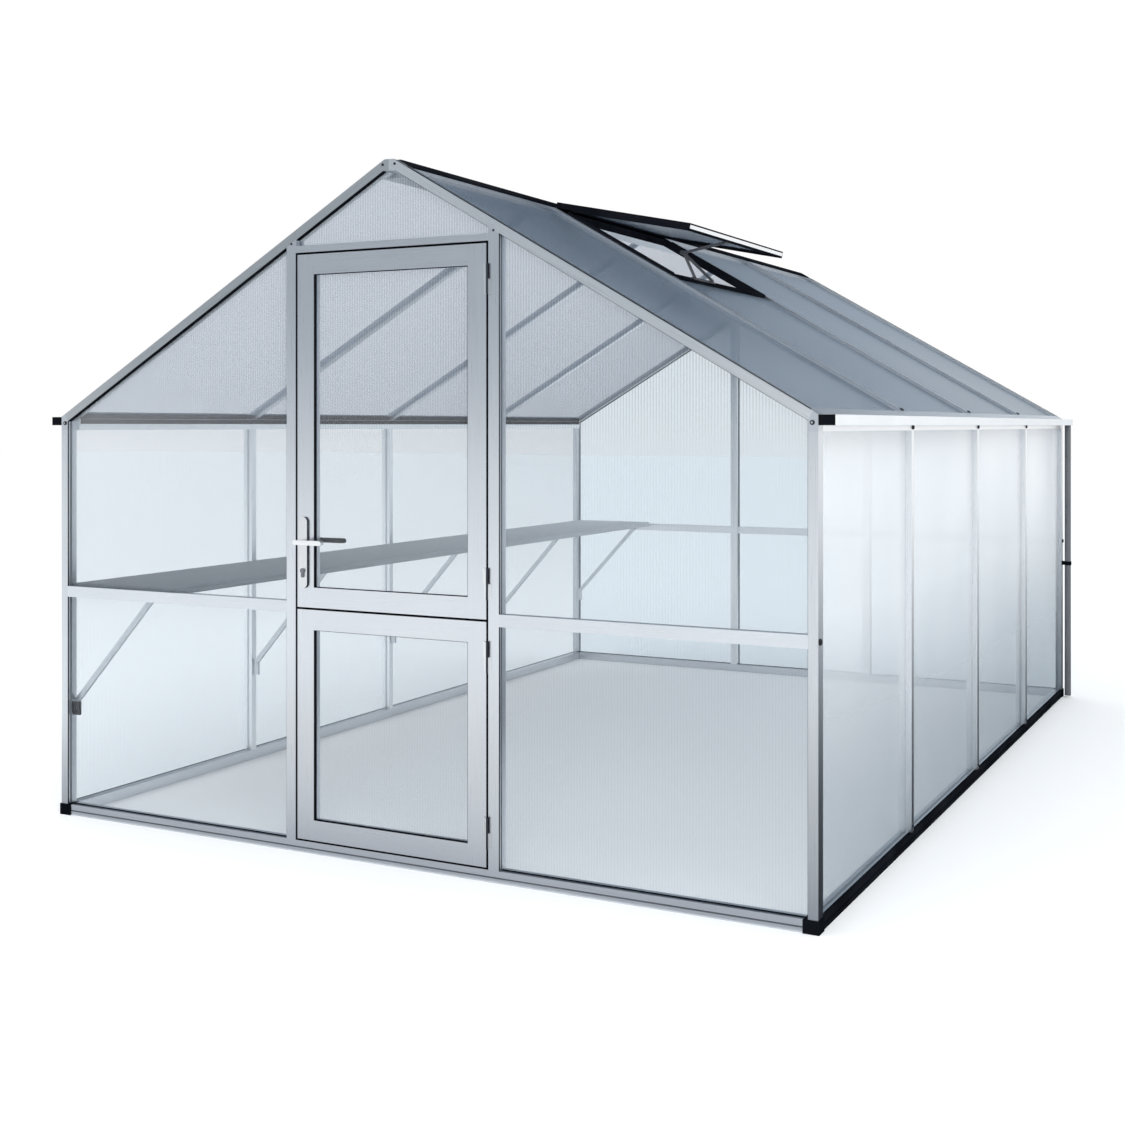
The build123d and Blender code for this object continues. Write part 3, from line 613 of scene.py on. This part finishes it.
# Darker copy of the wall sheet for the rear wall: painted shade
rear_sheet = sheet(
    "twin_wall_rear", (0.82, 0.86, 0.90), (0.70, 0.76, 0.81), (0.78, 0.83, 0.87), (0.885, 0.913, 0.932),
    veil=0.02, gain=0.75, low_gain=0.10, power=2.2, shine=0.2, cloud_scale=1.6, light_loss=0.04,
)
# Right wall's sheet: painted shade at its foot and painted light high up
side_sheet = sheet(
    "twin_wall_side", (0.30, 0.36, 0.41), (0.86, 0.895, 0.93), (0.94, 0.96, 0.98), (0.935, 0.948, 0.958),
    veil=0.02, gain=1.35, low_gain=0.33, power=2.2, shine=0.2, cloud_scale=1.6, light_loss=0.04,
)
# Dark blue-grey roof colour: a painted reflection of a dark sky
roof_sheet = sheet(
    "twin_wall_roof", (0.1, 0.14, 0.19), (0.1, 0.14, 0.19), (0.18, 0.23, 0.29), (0.81, 0.83, 0.865),
    veil=0.03, gain=2.6, low_gain=2.6, power=10.0, shine=0.35, cloud_scale=1.2, light_loss=0.20,
)
# Web colours differ by place, lit and shaded copies: painted light and painted shade
front_web = web_sheet("twin_wall_front_web", (0.60, 0.65, 0.71), 0.012, 0.15)
far_web = web_sheet("twin_wall_far_web", (0.92, 0.94, 0.96), 0.008, 0.008)
roof_web = web_sheet("twin_wall_roof_web", (0.42, 0.49, 0.57), 0.03, 0.03)

node_materials = {
    "front_sill": metal_across, "rear_sill": metal_across, "corner_posts": metal_post,
    "eave_brackets": metal_bracket, "eave_beams": metal_eave, "gutters": gutter_metal,
    "ridge_beam": beam_metal, "ridge_brackets": metal_rafter, "rafters": metal_rafter,
    "wall_bars": metal_bar, "roof_bars": metal_slope, "front_rails": metal_rail,
    "rear_rails": metal_rear_rail, "door_jambs": metal_upright, "rear_posts": metal_bar,
    "door_head": metal_across, "upper_door_frame": metal_leaf, "lower_door_frame": metal_leaf,
    "side_sills": sill_metal, "ridge_cap": shaded_black_metal, "vent_curb": shaded_black_metal, "vent_frame": shaded_black_metal,
    "vent_opener": opener_metal, "base_corners": black_plastic, "gutter_caps": black_plastic,
    "downpipe_clip": black_plastic, "downpipe": pipe_paint,
    "shelf": shelf_paint, "shelf_braces": brace_metal,
    "jamb_hinges": hinge_metal, "upper_door_hinges": hinge_metal, "lower_door_hinges": hinge_metal,
    "handle_plates": plate_metal, "lock_cylinders": lock_paint, "door_lever": lever_metal,
    "front_panels": wall_sheet, "rear_panels": rear_sheet, "left_wall_panels": wall_sheet,
    "right_wall_panels": side_sheet, "upper_door_pane": wall_sheet, "lower_door_pane": wall_sheet,
    "left_roof_panels": roof_sheet, "right_roof_panels": roof_sheet, "vent_pane": roof_sheet,
}
for node_name, node_material in node_materials.items():
    for material_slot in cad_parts[node_name].material_slots:
        material_slot.material = node_material


def piece(name, shape, material, body):
    """Makes a mesh object of a gathered shape, riding on a body, and returns it."""
    mesh = bpy.data.meshes.new(name)
    mesh.from_pydata(shape.points, [], shape.faces)
    mesh.update()
    mesh.materials.append(material)
    made = bpy.data.objects.new(name, mesh)
    scene.collection.objects.link(made)
    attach(made, body)
    return made


# Webs inside the twin-wall sheets
def sheet_edges(node_name):
    """Edges of each separate sheet of a node, as lists of point pairs."""
    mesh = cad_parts[node_name].data
    keys = [tuple(round(value, 5) for value in vertex.co) for vertex in mesh.vertices]
    group = {key: key for key in keys}

    def root(key):
        while group[key] != key:
            key = group[key]
        return key

    for edge in mesh.edges:
        group[root(keys[edge.vertices[0]])] = root(keys[edge.vertices[1]])
    sheets = {}
    for edge in mesh.edges:
        first = mesh.vertices[edge.vertices[0]].co
        second = mesh.vertices[edge.vertices[1]].co
        sheets.setdefault(root(keys[edge.vertices[0]]), []).append((first, second))
    return list(sheets.values())


def add_webs(shape, edges, place, web_pitch):
    """Upright webs at an even pitch inside one sheet, each as long as the sheet is at that spot."""
    spots = [(place.right.dot(a), place.right.dot(b), place.up.dot(a), place.up.dot(b)) for a, b in edges]
    depths = [place.out.dot(point) for edge in edges for point in edge]
    shifts = [spot for pair in spots for spot in pair[:2]]
    origin = Place((0, 0, 0), place.right, place.up)
    count = int((max(shifts) - min(shifts)) / web_pitch)
    margin = ((max(shifts) - min(shifts)) - (count - 1) * web_pitch) / 2
    for step in range(count):
        spot = min(shifts) + margin + step * web_pitch
        crossings = [
            start_v + (end_v - start_v) * (spot - start_u) / (end_u - start_u)
            for start_u, end_u, start_v, end_v in spots
            if min(start_u, end_u) <= spot <= max(start_u, end_u) and abs(end_u - start_u) > 1e-6
        ]
        if len(crossings) > 1 and max(crossings) - min(crossings) > web_pitch:
            web_range = (min(crossings) + web_skin, max(crossings) - web_skin)
            depth_range = (min(depths) + web_skin, max(depths) - web_skin)
            origin_range = (spot - web_thickness / 2, spot + web_thickness / 2)
            shape.block(origin, origin_range, web_range, depth_range)


def leaf_slope_place():
    """The propped vent leaf: up along its slant towards the hinge, out of its top face."""
    slant = vent_slant()
    return Place((0, 0, 0), y_axis, (-math.cos(slant), 0, math.sin(slant)))


def vent_slant():
    """Slant of the open vent leaf below the level, from the flat side of its pane."""
    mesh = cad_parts["vent_pane"].data
    facing = max(mesh.polygons, key=lambda face: face.area).normal
    return math.atan2(abs(facing.x), abs(facing.z))


web_rows = [
    ("front_panels", front, fine_pitch, front_web, "greenhouse", "clear_twin_wall"),
    ("rear_panels", rear, wide_pitch, far_web, "greenhouse", "clear_twin_wall"),
    ("left_wall_panels", left_wall, wide_pitch, far_web, "greenhouse", "clear_twin_wall"),
    ("right_wall_panels", right_wall, wide_pitch, far_web, "greenhouse", "clear_twin_wall"),
    ("left_roof_panels", slopes["left"], wide_pitch, roof_web, "greenhouse", "roof_twin_wall"),
    ("right_roof_panels", slopes["right"], wide_pitch, roof_web, "greenhouse", "roof_twin_wall"),
    ("vent_pane", leaf_slope_place(), wide_pitch, roof_web, "greenhouse", "roof_twin_wall"),
    ("upper_door_pane", front, fine_pitch, front_web, "upper_door", "clear_twin_wall"),
    ("lower_door_pane", front, fine_pitch, front_web, "lower_door", "clear_twin_wall"),
]
for node_name, web_place, web_pitch, web_material, web_body, web_slot in web_rows:
    webs = Shape()
    for edges in sheet_edges(node_name):
        add_webs(webs, edges, web_place, web_pitch)
    web_piece = piece(node_name + "_webs", webs, web_material, web_body)
    web_piece.visible_shadow = False
    web_piece.visible_diffuse = False
    web_piece.visible_glossy = False


# Seals of the fixed sheets in the two end walls, with painted shade in the grooves beside the uprights
def upright_seals(shape, place, x, facing, bottom, top, depth_range):
    """A strip on an upright's reveal: at a distance X, facing left or right, between two depths."""
    shape.block(place, (x, x + facing * seal_proud), (bottom, top), (-depth_range[0], -depth_range[1]))


def end_seals(place, uprights):
    """Front lines and back wedges on the uprights' reveals: the black front lines are painted shade in the
    groove, the grey back wedges are seals.
    """
    lines = Shape()
    wedges = Shape()
    for x, facing in uprights:
        top = rafter_underside(x) - seal_proud
        for bottom, upper in ((sill_top, rail_bottom), (rail_top, top)):
            upright_seals(lines, place, x, facing, bottom, upper, (seal_face_gap, seal_front_width))
            wedge_depths = (panel_recess - seal_back_width, panel_recess)
            upright_seals(wedges, place, x, facing, bottom, upper, wedge_depths)
    return lines, wedges


front_uprights = [(side * post_inner, -side) for side in sides]
front_uprights += [(side * jamb_outer, side) for side in sides]
front_lines, front_wedges = end_seals(front, front_uprights)
rear_lines, rear_wedges = end_seals(rear, front_uprights + [(side * doorway_half, -side) for side in sides])


def rafter_seals(shape, place, inner, outer):
    """A black strip under both rafters of an end wall, between two distances from the middle."""
    for side in sides:
        low_spot = (side * outer, rafter_underside(outer))
        high_spot = (side * inner, rafter_underside(inner))
        outline = [low_spot, high_spot]
        outline += [(u, v - lining_proud) for u, v in reversed(outline)]
        shape.prism(place, outline, -panel_recess, -seal_face_gap)


rafter_seals(front_lines, front, jamb_outer, post_inner)
rafter_seals(front_lines, front, 0.0, doorway_half)
rafter_seals(rear_lines, rear, 0.0, post_inner)
bed_heights = (sill_top, sill_top + bed_height)
bed_depths = (-panel_recess + bed_depth, -panel_recess)
for side in sides:
    front_lines.block(front, (side * jamb_outer, side * post_inner), bed_heights, bed_depths)
rear_lines.block(rear, (-post_inner, post_inner), bed_heights, bed_depths)
piece("front_seals_and_groove_shade", front_lines, rubber, "greenhouse")
piece("front_seal_wedges", front_wedges, grey_seal, "greenhouse")
piece("rear_seals_and_groove_shade", rear_lines, rubber, "greenhouse")
piece("rear_seal_wedges", rear_wedges, grey_seal, "greenhouse")


# Door seals: a lining round each pane, stops behind the leaves and a strip where the leaves meet
def pane_lining(name, pane_node, body):
    """Black lining on the four reveals in front of a door pane."""
    pane_low, pane_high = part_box(pane_node)
    lining = Shape()
    depth_range = (front_y - pane_low.y, -seal_face_gap)
    lining.frame(front, (pane_low.x, pane_high.x), (pane_low.z, pane_high.z), depth_range, lining_proud)
    piece(name, lining, rubber, body)


pane_lining("upper_door_seal", "upper_door_pane", "upper_door")
pane_lining("lower_door_seal", "lower_door_pane", "lower_door")
stops = Shape()
stop_depths = (-stop_far, -stop_near)
for side in sides:
    stop_range = (side * doorway_half, side * (doorway_half - stop_width))
    stops.block(front, stop_range, (sill_top, head_bottom), stop_depths)
inner_half = doorway_half - stop_width
stops.block(front, (-inner_half, inner_half), (head_bottom - stop_width, head_bottom), stop_depths)
stops.block(front, (-inner_half, inner_half), (sill_top, sill_top + stop_width), stop_depths)
piece("door_stops", stops, rubber, "greenhouse")
meeting_top = high("lower_door_frame").z
meeting = Shape()
meeting_half = leaf_half - meeting_inset
meeting_heights = (meeting_top, meeting_top + meeting_height)
meeting.block(front, (-meeting_half, meeting_half), meeting_heights, meeting_depth)
piece("meeting_seal", meeting, rubber, "lower_door")

# Painted shade in the gaps round the door leaves: black strips inside the gaps, with thin black lips on the
# doorway and round each leaf
gaps = Shape()
gap_shade_depths = (-stop_near, -gap_shade_thickness)
for side in sides:
    gap_shade_range = (side * doorway_half, side * (doorway_half - gap_shade_thickness))
    gaps.block(front, gap_shade_range, (sill_top, head_bottom), gap_shade_depths)
gap_shade_half = doorway_half - gap_shade_thickness
gaps.block(front, (-gap_shade_half, gap_shade_half), (head_bottom - gap_shade_thickness, head_bottom), gap_shade_depths)
gaps.block(front, (-gap_shade_half, gap_shade_half), (sill_top, sill_top + gap_shade_thickness), gap_shade_depths)
for side in sides:
    side_range = (side * doorway_half, side * (doorway_half + gap_lip))
    gaps.block(front, side_range, (sill_top, head_bottom + gap_lip), lip_range)
gaps.block(front, (-doorway_half, doorway_half), (head_bottom, head_bottom + gap_lip), lip_range)
piece("door_gap_shade", gaps, rubber, "greenhouse")
leaf_depth = (-leaf_shade_far, -gap_shade_thickness)
for body in ("upper_door", "lower_door"):
    leaf_low, leaf_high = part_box(body + "_frame")
    edges = Shape()
    for side in sides:
        edge_range = (side * leaf_half, side * (leaf_half + gap_shade_thickness))
        edges.block(front, edge_range, (leaf_low.z, leaf_high.z), leaf_depth)
    edges.frame(front, (-leaf_half, leaf_half), (leaf_low.z, leaf_high.z), lip_range, gap_lip)
    if body == "lower_door":
        edges.block(front, (-leaf_half, leaf_half), (leaf_high.z, leaf_high.z + gap_shade_thickness), leaf_depth)
    piece(body + "_edge_shade", edges, rubber, body)

# Black strips on the inner faces of the eave beams as painted shade, and thin strips on the rafters
eave_shade_and_rafter_lines = Shape()
beam_low = low("eave_beams").z
beam_range = (front_y + eave_strip_inset, rear_y - eave_strip_inset)
beam_heights = [beam_low + rise for rise in eave_strip_rise]
level = Place((0, 0, 0), x_axis, y_axis)
for side in sides:
    strip_range = (side * eave_inner, side * (eave_inner - eave_strip_thickness))
    eave_shade_and_rafter_lines.block(level, strip_range, beam_range, beam_heights)
rafter_range = (rafter_strip_foot, slope_length - rafter_strip_head)
for slope in slopes.values():
    for end in sides:
        strip_range = [end * (rear_y - front_y) / 2 - end * inset for inset in rafter_strip_place]
        eave_shade_and_rafter_lines.block(slope, strip_range, rafter_range, rafter_strip_heights)
piece("eave_shade_and_rafter_strips", eave_shade_and_rafter_lines, rubber, "greenhouse")

# Vent trim: an upstand beside its opening and a skirt on its leaf, black as painted shade, and a light edge
# strip on its leaf
upstand = Shape()
roof_right = slopes["right"]
curb_low, curb_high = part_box("vent_curb")
curb_ys = (curb_low.y - middle_y, curb_high.y - middle_y)
curb_foot = (half_width - curb_high.x) / math.cos(pitch)
upstand_range = (curb_foot, slope_length - upstand_head)
for end, curb_y, (width, height) in zip(sides, curb_ys, (front_upstand, rear_upstand)):
    width_range = (curb_y, curb_y - end * width)
    upstand.block(roof_right, width_range, upstand_range, (upstand_foot_height, height))
piece("vent_upstand", upstand, shaded_black_metal, "greenhouse")
leaf_place = leaf_slope_place()
leaf_spots = [vertex.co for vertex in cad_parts["vent_frame"].data.vertices]
leaf_foot = min(leaf_place.up.dot(point) for point in leaf_spots)
leaf_under = min(leaf_place.out.dot(point) for point in leaf_spots)
leaf_ys = (low("vent_frame").y, high("vent_frame").y)
leaf_skirt = Shape()
skirt_range = (leaf_under - skirt_drop, leaf_under)
for end, leaf_y in zip(sides, leaf_ys):
    width_range = (leaf_y, leaf_y - end * skirt_width)
    leaf_skirt.block(leaf_place, width_range, (leaf_foot, leaf_foot + skirt_length), skirt_range)
leaf_skirt.block(leaf_place, leaf_ys, (leaf_foot, leaf_foot + skirt_width), skirt_range)
piece("vent_leaf_skirt", leaf_skirt, shaded_black_metal, "greenhouse")
leaf_strip = Shape()
strip_range = (leaf_ys[0] + leaf_strip_inset, leaf_ys[1] - leaf_strip_inset)
strip_depths = (leaf_foot - leaf_strip_thickness, leaf_foot)
leaf_strip.block(leaf_place, strip_range, strip_depths, [leaf_under + rise for rise in leaf_strip_rise])
piece("vent_leaf_strip", leaf_strip, metal_rear_rail, "greenhouse")

# Filler in the groove of the front and rear sills
groove = Shape()
groove_half = half_width - groove_inset
for place in ends.values():
    groove.block(place, (-groove_half, groove_half), groove_heights, groove_depths)
piece("sill_groove", groove, grey_seal, "greenhouse")

# Screws
screws = Shape()
bolt_centres = Shape()
bracket_x = half_width - bracket_screw_inset
bracket_z = eave_height - bracket_screw_drop
ridge_x = ridge_screw_along * math.cos(pitch) + ridge_screw_shift
ridge_z = eave_height + ridge_rise - ridge_screw_drop - ridge_screw_along * math.sin(pitch)
for place in ends.values():
    for side in sides:
        screws.screw(place, side * bracket_x, bracket_z, bracket_screw_radius)
        bolt_centres.turned(place, side * bracket_x, bracket_z, bolt_centre)
        screws.screw(place, side * ridge_x, ridge_z, ridge_screw_radius)
jamb_screw_z = high("door_jambs").z - jamb_screw_drop
for side in sides:
    screws.screw(front, side * (jamb_outer + doorway_half) / 2, jamb_screw_z, jamb_screw_radius)
for side, wall in zip(sides, (left_wall, right_wall)):
    for bar_y in bar_ys:
        shift = side * (bar_y - middle_y)
        screws.screw(wall, shift, beam_low + bar_top_screw_rise, bar_top_screw_radius)
        screws.screw(wall, shift, sill_top + bar_foot_screw_rise, bar_foot_screw_radius)
rail_screw_y = (rear_y - front_y) / 2 - rail_screw_inset
for wall in (left_wall, right_wall):
    for end in sides:
        screws.screw(wall, end * rail_screw_y, (rail_bottom + rail_top) / 2, rail_screw_radius)
for side, slope in zip(sides, slopes.values()):
    for bar_y in bar_ys:
        screws.screw(slope, side * (bar_y - middle_y), roof_screw_rise, roof_screw_radius)
piece("frame_screws", screws, screw_metal, "greenhouse")
piece("bracket_bolt_centres", bolt_centres, metal_bracket, "greenhouse")


# Stage: floor, cards that only show in reflections, lamps and world
def studio_world(colour, strength):
    """Soft light from all round, with a plain white background."""
    world = bpy.data.worlds.new("studio")
    scene.world = world
    world.use_nodes = True
    tree = world.node_tree
    tree.nodes.clear()
    soft = node(tree, "ShaderNodeBackground", {"Color": (*colour, 1.0), "Strength": strength})
    white = node(tree, "ShaderNodeBackground", {"Color": (1.0, 1.0, 1.0, 1.0), "Strength": 1.0})
    shaders = {0: seen_directly(tree), 1: soft.outputs[0], 2: white.outputs[0]}
    mixed = node(tree, "ShaderNodeMixShader", shaders)
    node(tree, "ShaderNodeOutputWorld", {"Surface": mixed.outputs[0]})


def flat_stage(name, corners, material):
    """A flat stage piece with four corners."""
    mesh = bpy.data.meshes.new(name)
    mesh.from_pydata(corners, [], [(0, 1, 2, 3)])
    mesh.materials.append(material)
    made = bpy.data.objects.new(name, mesh)
    scene.collection.objects.link(made)
    return made


def floor_material(colour, lift):
    """Pale floor that keeps shadows and reads as white in the open."""
    material, tree = new_tree("pale_floor")
    diffuse = node(tree, "ShaderNodeBsdfDiffuse", {"Color": (*colour, 1.0)})
    strength = spread(tree, seen_directly(tree), 0.0, lift)
    glow = node(tree, "ShaderNodeEmission", {"Color": (1.0, 1.0, 1.0, 1.0), "Strength": strength})
    both = node(tree, "ShaderNodeAddShader", {0: diffuse.outputs[0], 1: glow.outputs[0]})
    output(tree, both)
    return material


def reflected_only(made):
    """Leaves a stage piece to reflections alone."""
    made.visible_camera = False
    made.visible_diffuse = False
    made.visible_shadow = False
    made.visible_transmission = False


def card_material(name, axis, start, end, stops):
    """Plain glow that changes along one axis, between two places."""
    material, tree = new_tree(name)
    glow = ramp(tree, share_between(tree, axis, start, end), stops)
    output(tree, node(tree, "ShaderNodeEmission", {"Color": glow, "Strength": 1.0}))
    return material


def soft_lamp(name, place, aim, size, power):
    """Square area lamp at a place, aimed at a point."""
    data = bpy.data.lights.new(name, "AREA")
    data.size = size
    data.energy = power
    lamp = bpy.data.objects.new(name, data)
    lamp.location = place
    lamp.rotation_euler = (Vector(aim) - Vector(place)).to_track_quat("-Z", "Y").to_euler()
    lamp.visible_glossy = False
    scene.collection.objects.link(lamp)


floor_reach = 60.0
studio_world((0.97, 0.985, 1.0), 1.0)
floor_corners = [(-floor_reach, -floor_reach, 0), (floor_reach, -floor_reach, 0)]
floor_corners += [(floor_reach, floor_reach, 0), (-floor_reach, floor_reach, 0)]
flat_stage("floor", floor_corners, floor_material((0.95, 0.97, 0.98), 0.09))

# Grey card behind the camera
card_y = front_y - 7.5
card_low = 1.5
card_high = 9.0
card_corners = [(-floor_reach, card_y, card_low), (floor_reach, card_y, card_low)]
card_corners += [(floor_reach, card_y, card_high), (-floor_reach, card_y, card_high)]
card_grey = (0.29, 0.335, 0.38)
card_glow = card_material("grey_card", "Z", card_low, card_high, [
    (0.0, card_grey), (0.14, (0.33, 0.375, 0.42)), (0.3, (0.50, 0.54, 0.58)), (1.0, (0.5, 0.54, 0.58)),
])
reflected_only(flat_stage("grey_card", card_corners, card_glow))

# Dark sky card behind the house, bright at the horizon
sky_y = 25.0
sky_low = 4.0
sky_high = 40.0
sky_corners = [(floor_reach, sky_y, sky_low), (-floor_reach, sky_y, sky_low)]
sky_corners += [(-floor_reach, sky_y, sky_high), (floor_reach, sky_y, sky_high)]
sky_glow = card_material("sky_card", "Z", sky_low, sky_high, [
    (0.0, (1.0, 1.0, 1.0)), (0.05, (0.88, 0.95, 1.0)),
    (0.12, (0.60, 0.69, 0.80)), (0.20, (0.08, 0.10, 0.13)),
])
reflected_only(flat_stage("sky_card", sky_corners, sky_glow))

# Floor cards in front of the door and beside the right wall, dark by the house: painted shade of the floor,
# seen only in reflections
card_height = 0.001
front_reach = 3.0
side_reach = 4.5
side_end = 20.0
card_gap = 0.01
front_left = -half_width - 1
front_far = front_y - front_reach
front_near = front_y - card_gap
front_corners = [(front_left, front_far, card_height), (half_width, front_far, card_height)]
front_corners += [(half_width, front_near, card_height), (front_left, front_near, card_height)]
front_glow = card_material("front_card", "Y", front_y, front_y - front_reach, [
    (0.0, (0.46, 0.49, 0.53)), (0.2, (0.74, 0.765, 0.79)), (1.0, (1.0, 1.0, 1.0)),
])
reflected_only(flat_stage("front_card", front_corners, front_glow))
side_near = half_width + card_gap
side_far = half_width + side_reach
side_corners = [(side_near, front_y, card_height), (side_far, front_y, card_height)]
side_corners += [(side_far, side_end, card_height), (side_near, side_end, card_height)]
side_glow = card_material("side_card", "X", half_width, half_width + side_reach, [
    (0.0, (0.02, 0.025, 0.035)), (0.15, (0.07, 0.085, 0.10)),
    (0.35, (0.35, 0.39, 0.43)), (1.0, (1.0, 1.0, 1.0)),
])
reflected_only(flat_stage("side_card", side_corners, side_glow))
soft_lamp("key_lamp", (4.5, -7.5, 5.5), (0.0, 0.0, 1.0), 5.0, 260.0)
soft_lamp("fill_lamp", (-6.0, -5.0, 4.5), (0.0, 0.0, 1.0), 5.0, 90.0)

# Camera
camera_data = bpy.data.cameras.new("camera")
camera_data.sensor_width = sensor_mm
camera_data.lens = focal_pixels / picture_pixels * sensor_mm
camera_data.shift_y = (horizon_pixel - picture_pixels / 2) / picture_pixels
camera_data.clip_end = 200.0
camera = bpy.data.objects.new("camera", camera_data)
camera.location = camera_place
camera.rotation_euler = (math.pi / 2, 0.0, camera_yaw)
scene.collection.objects.link(camera)
scene.camera = camera
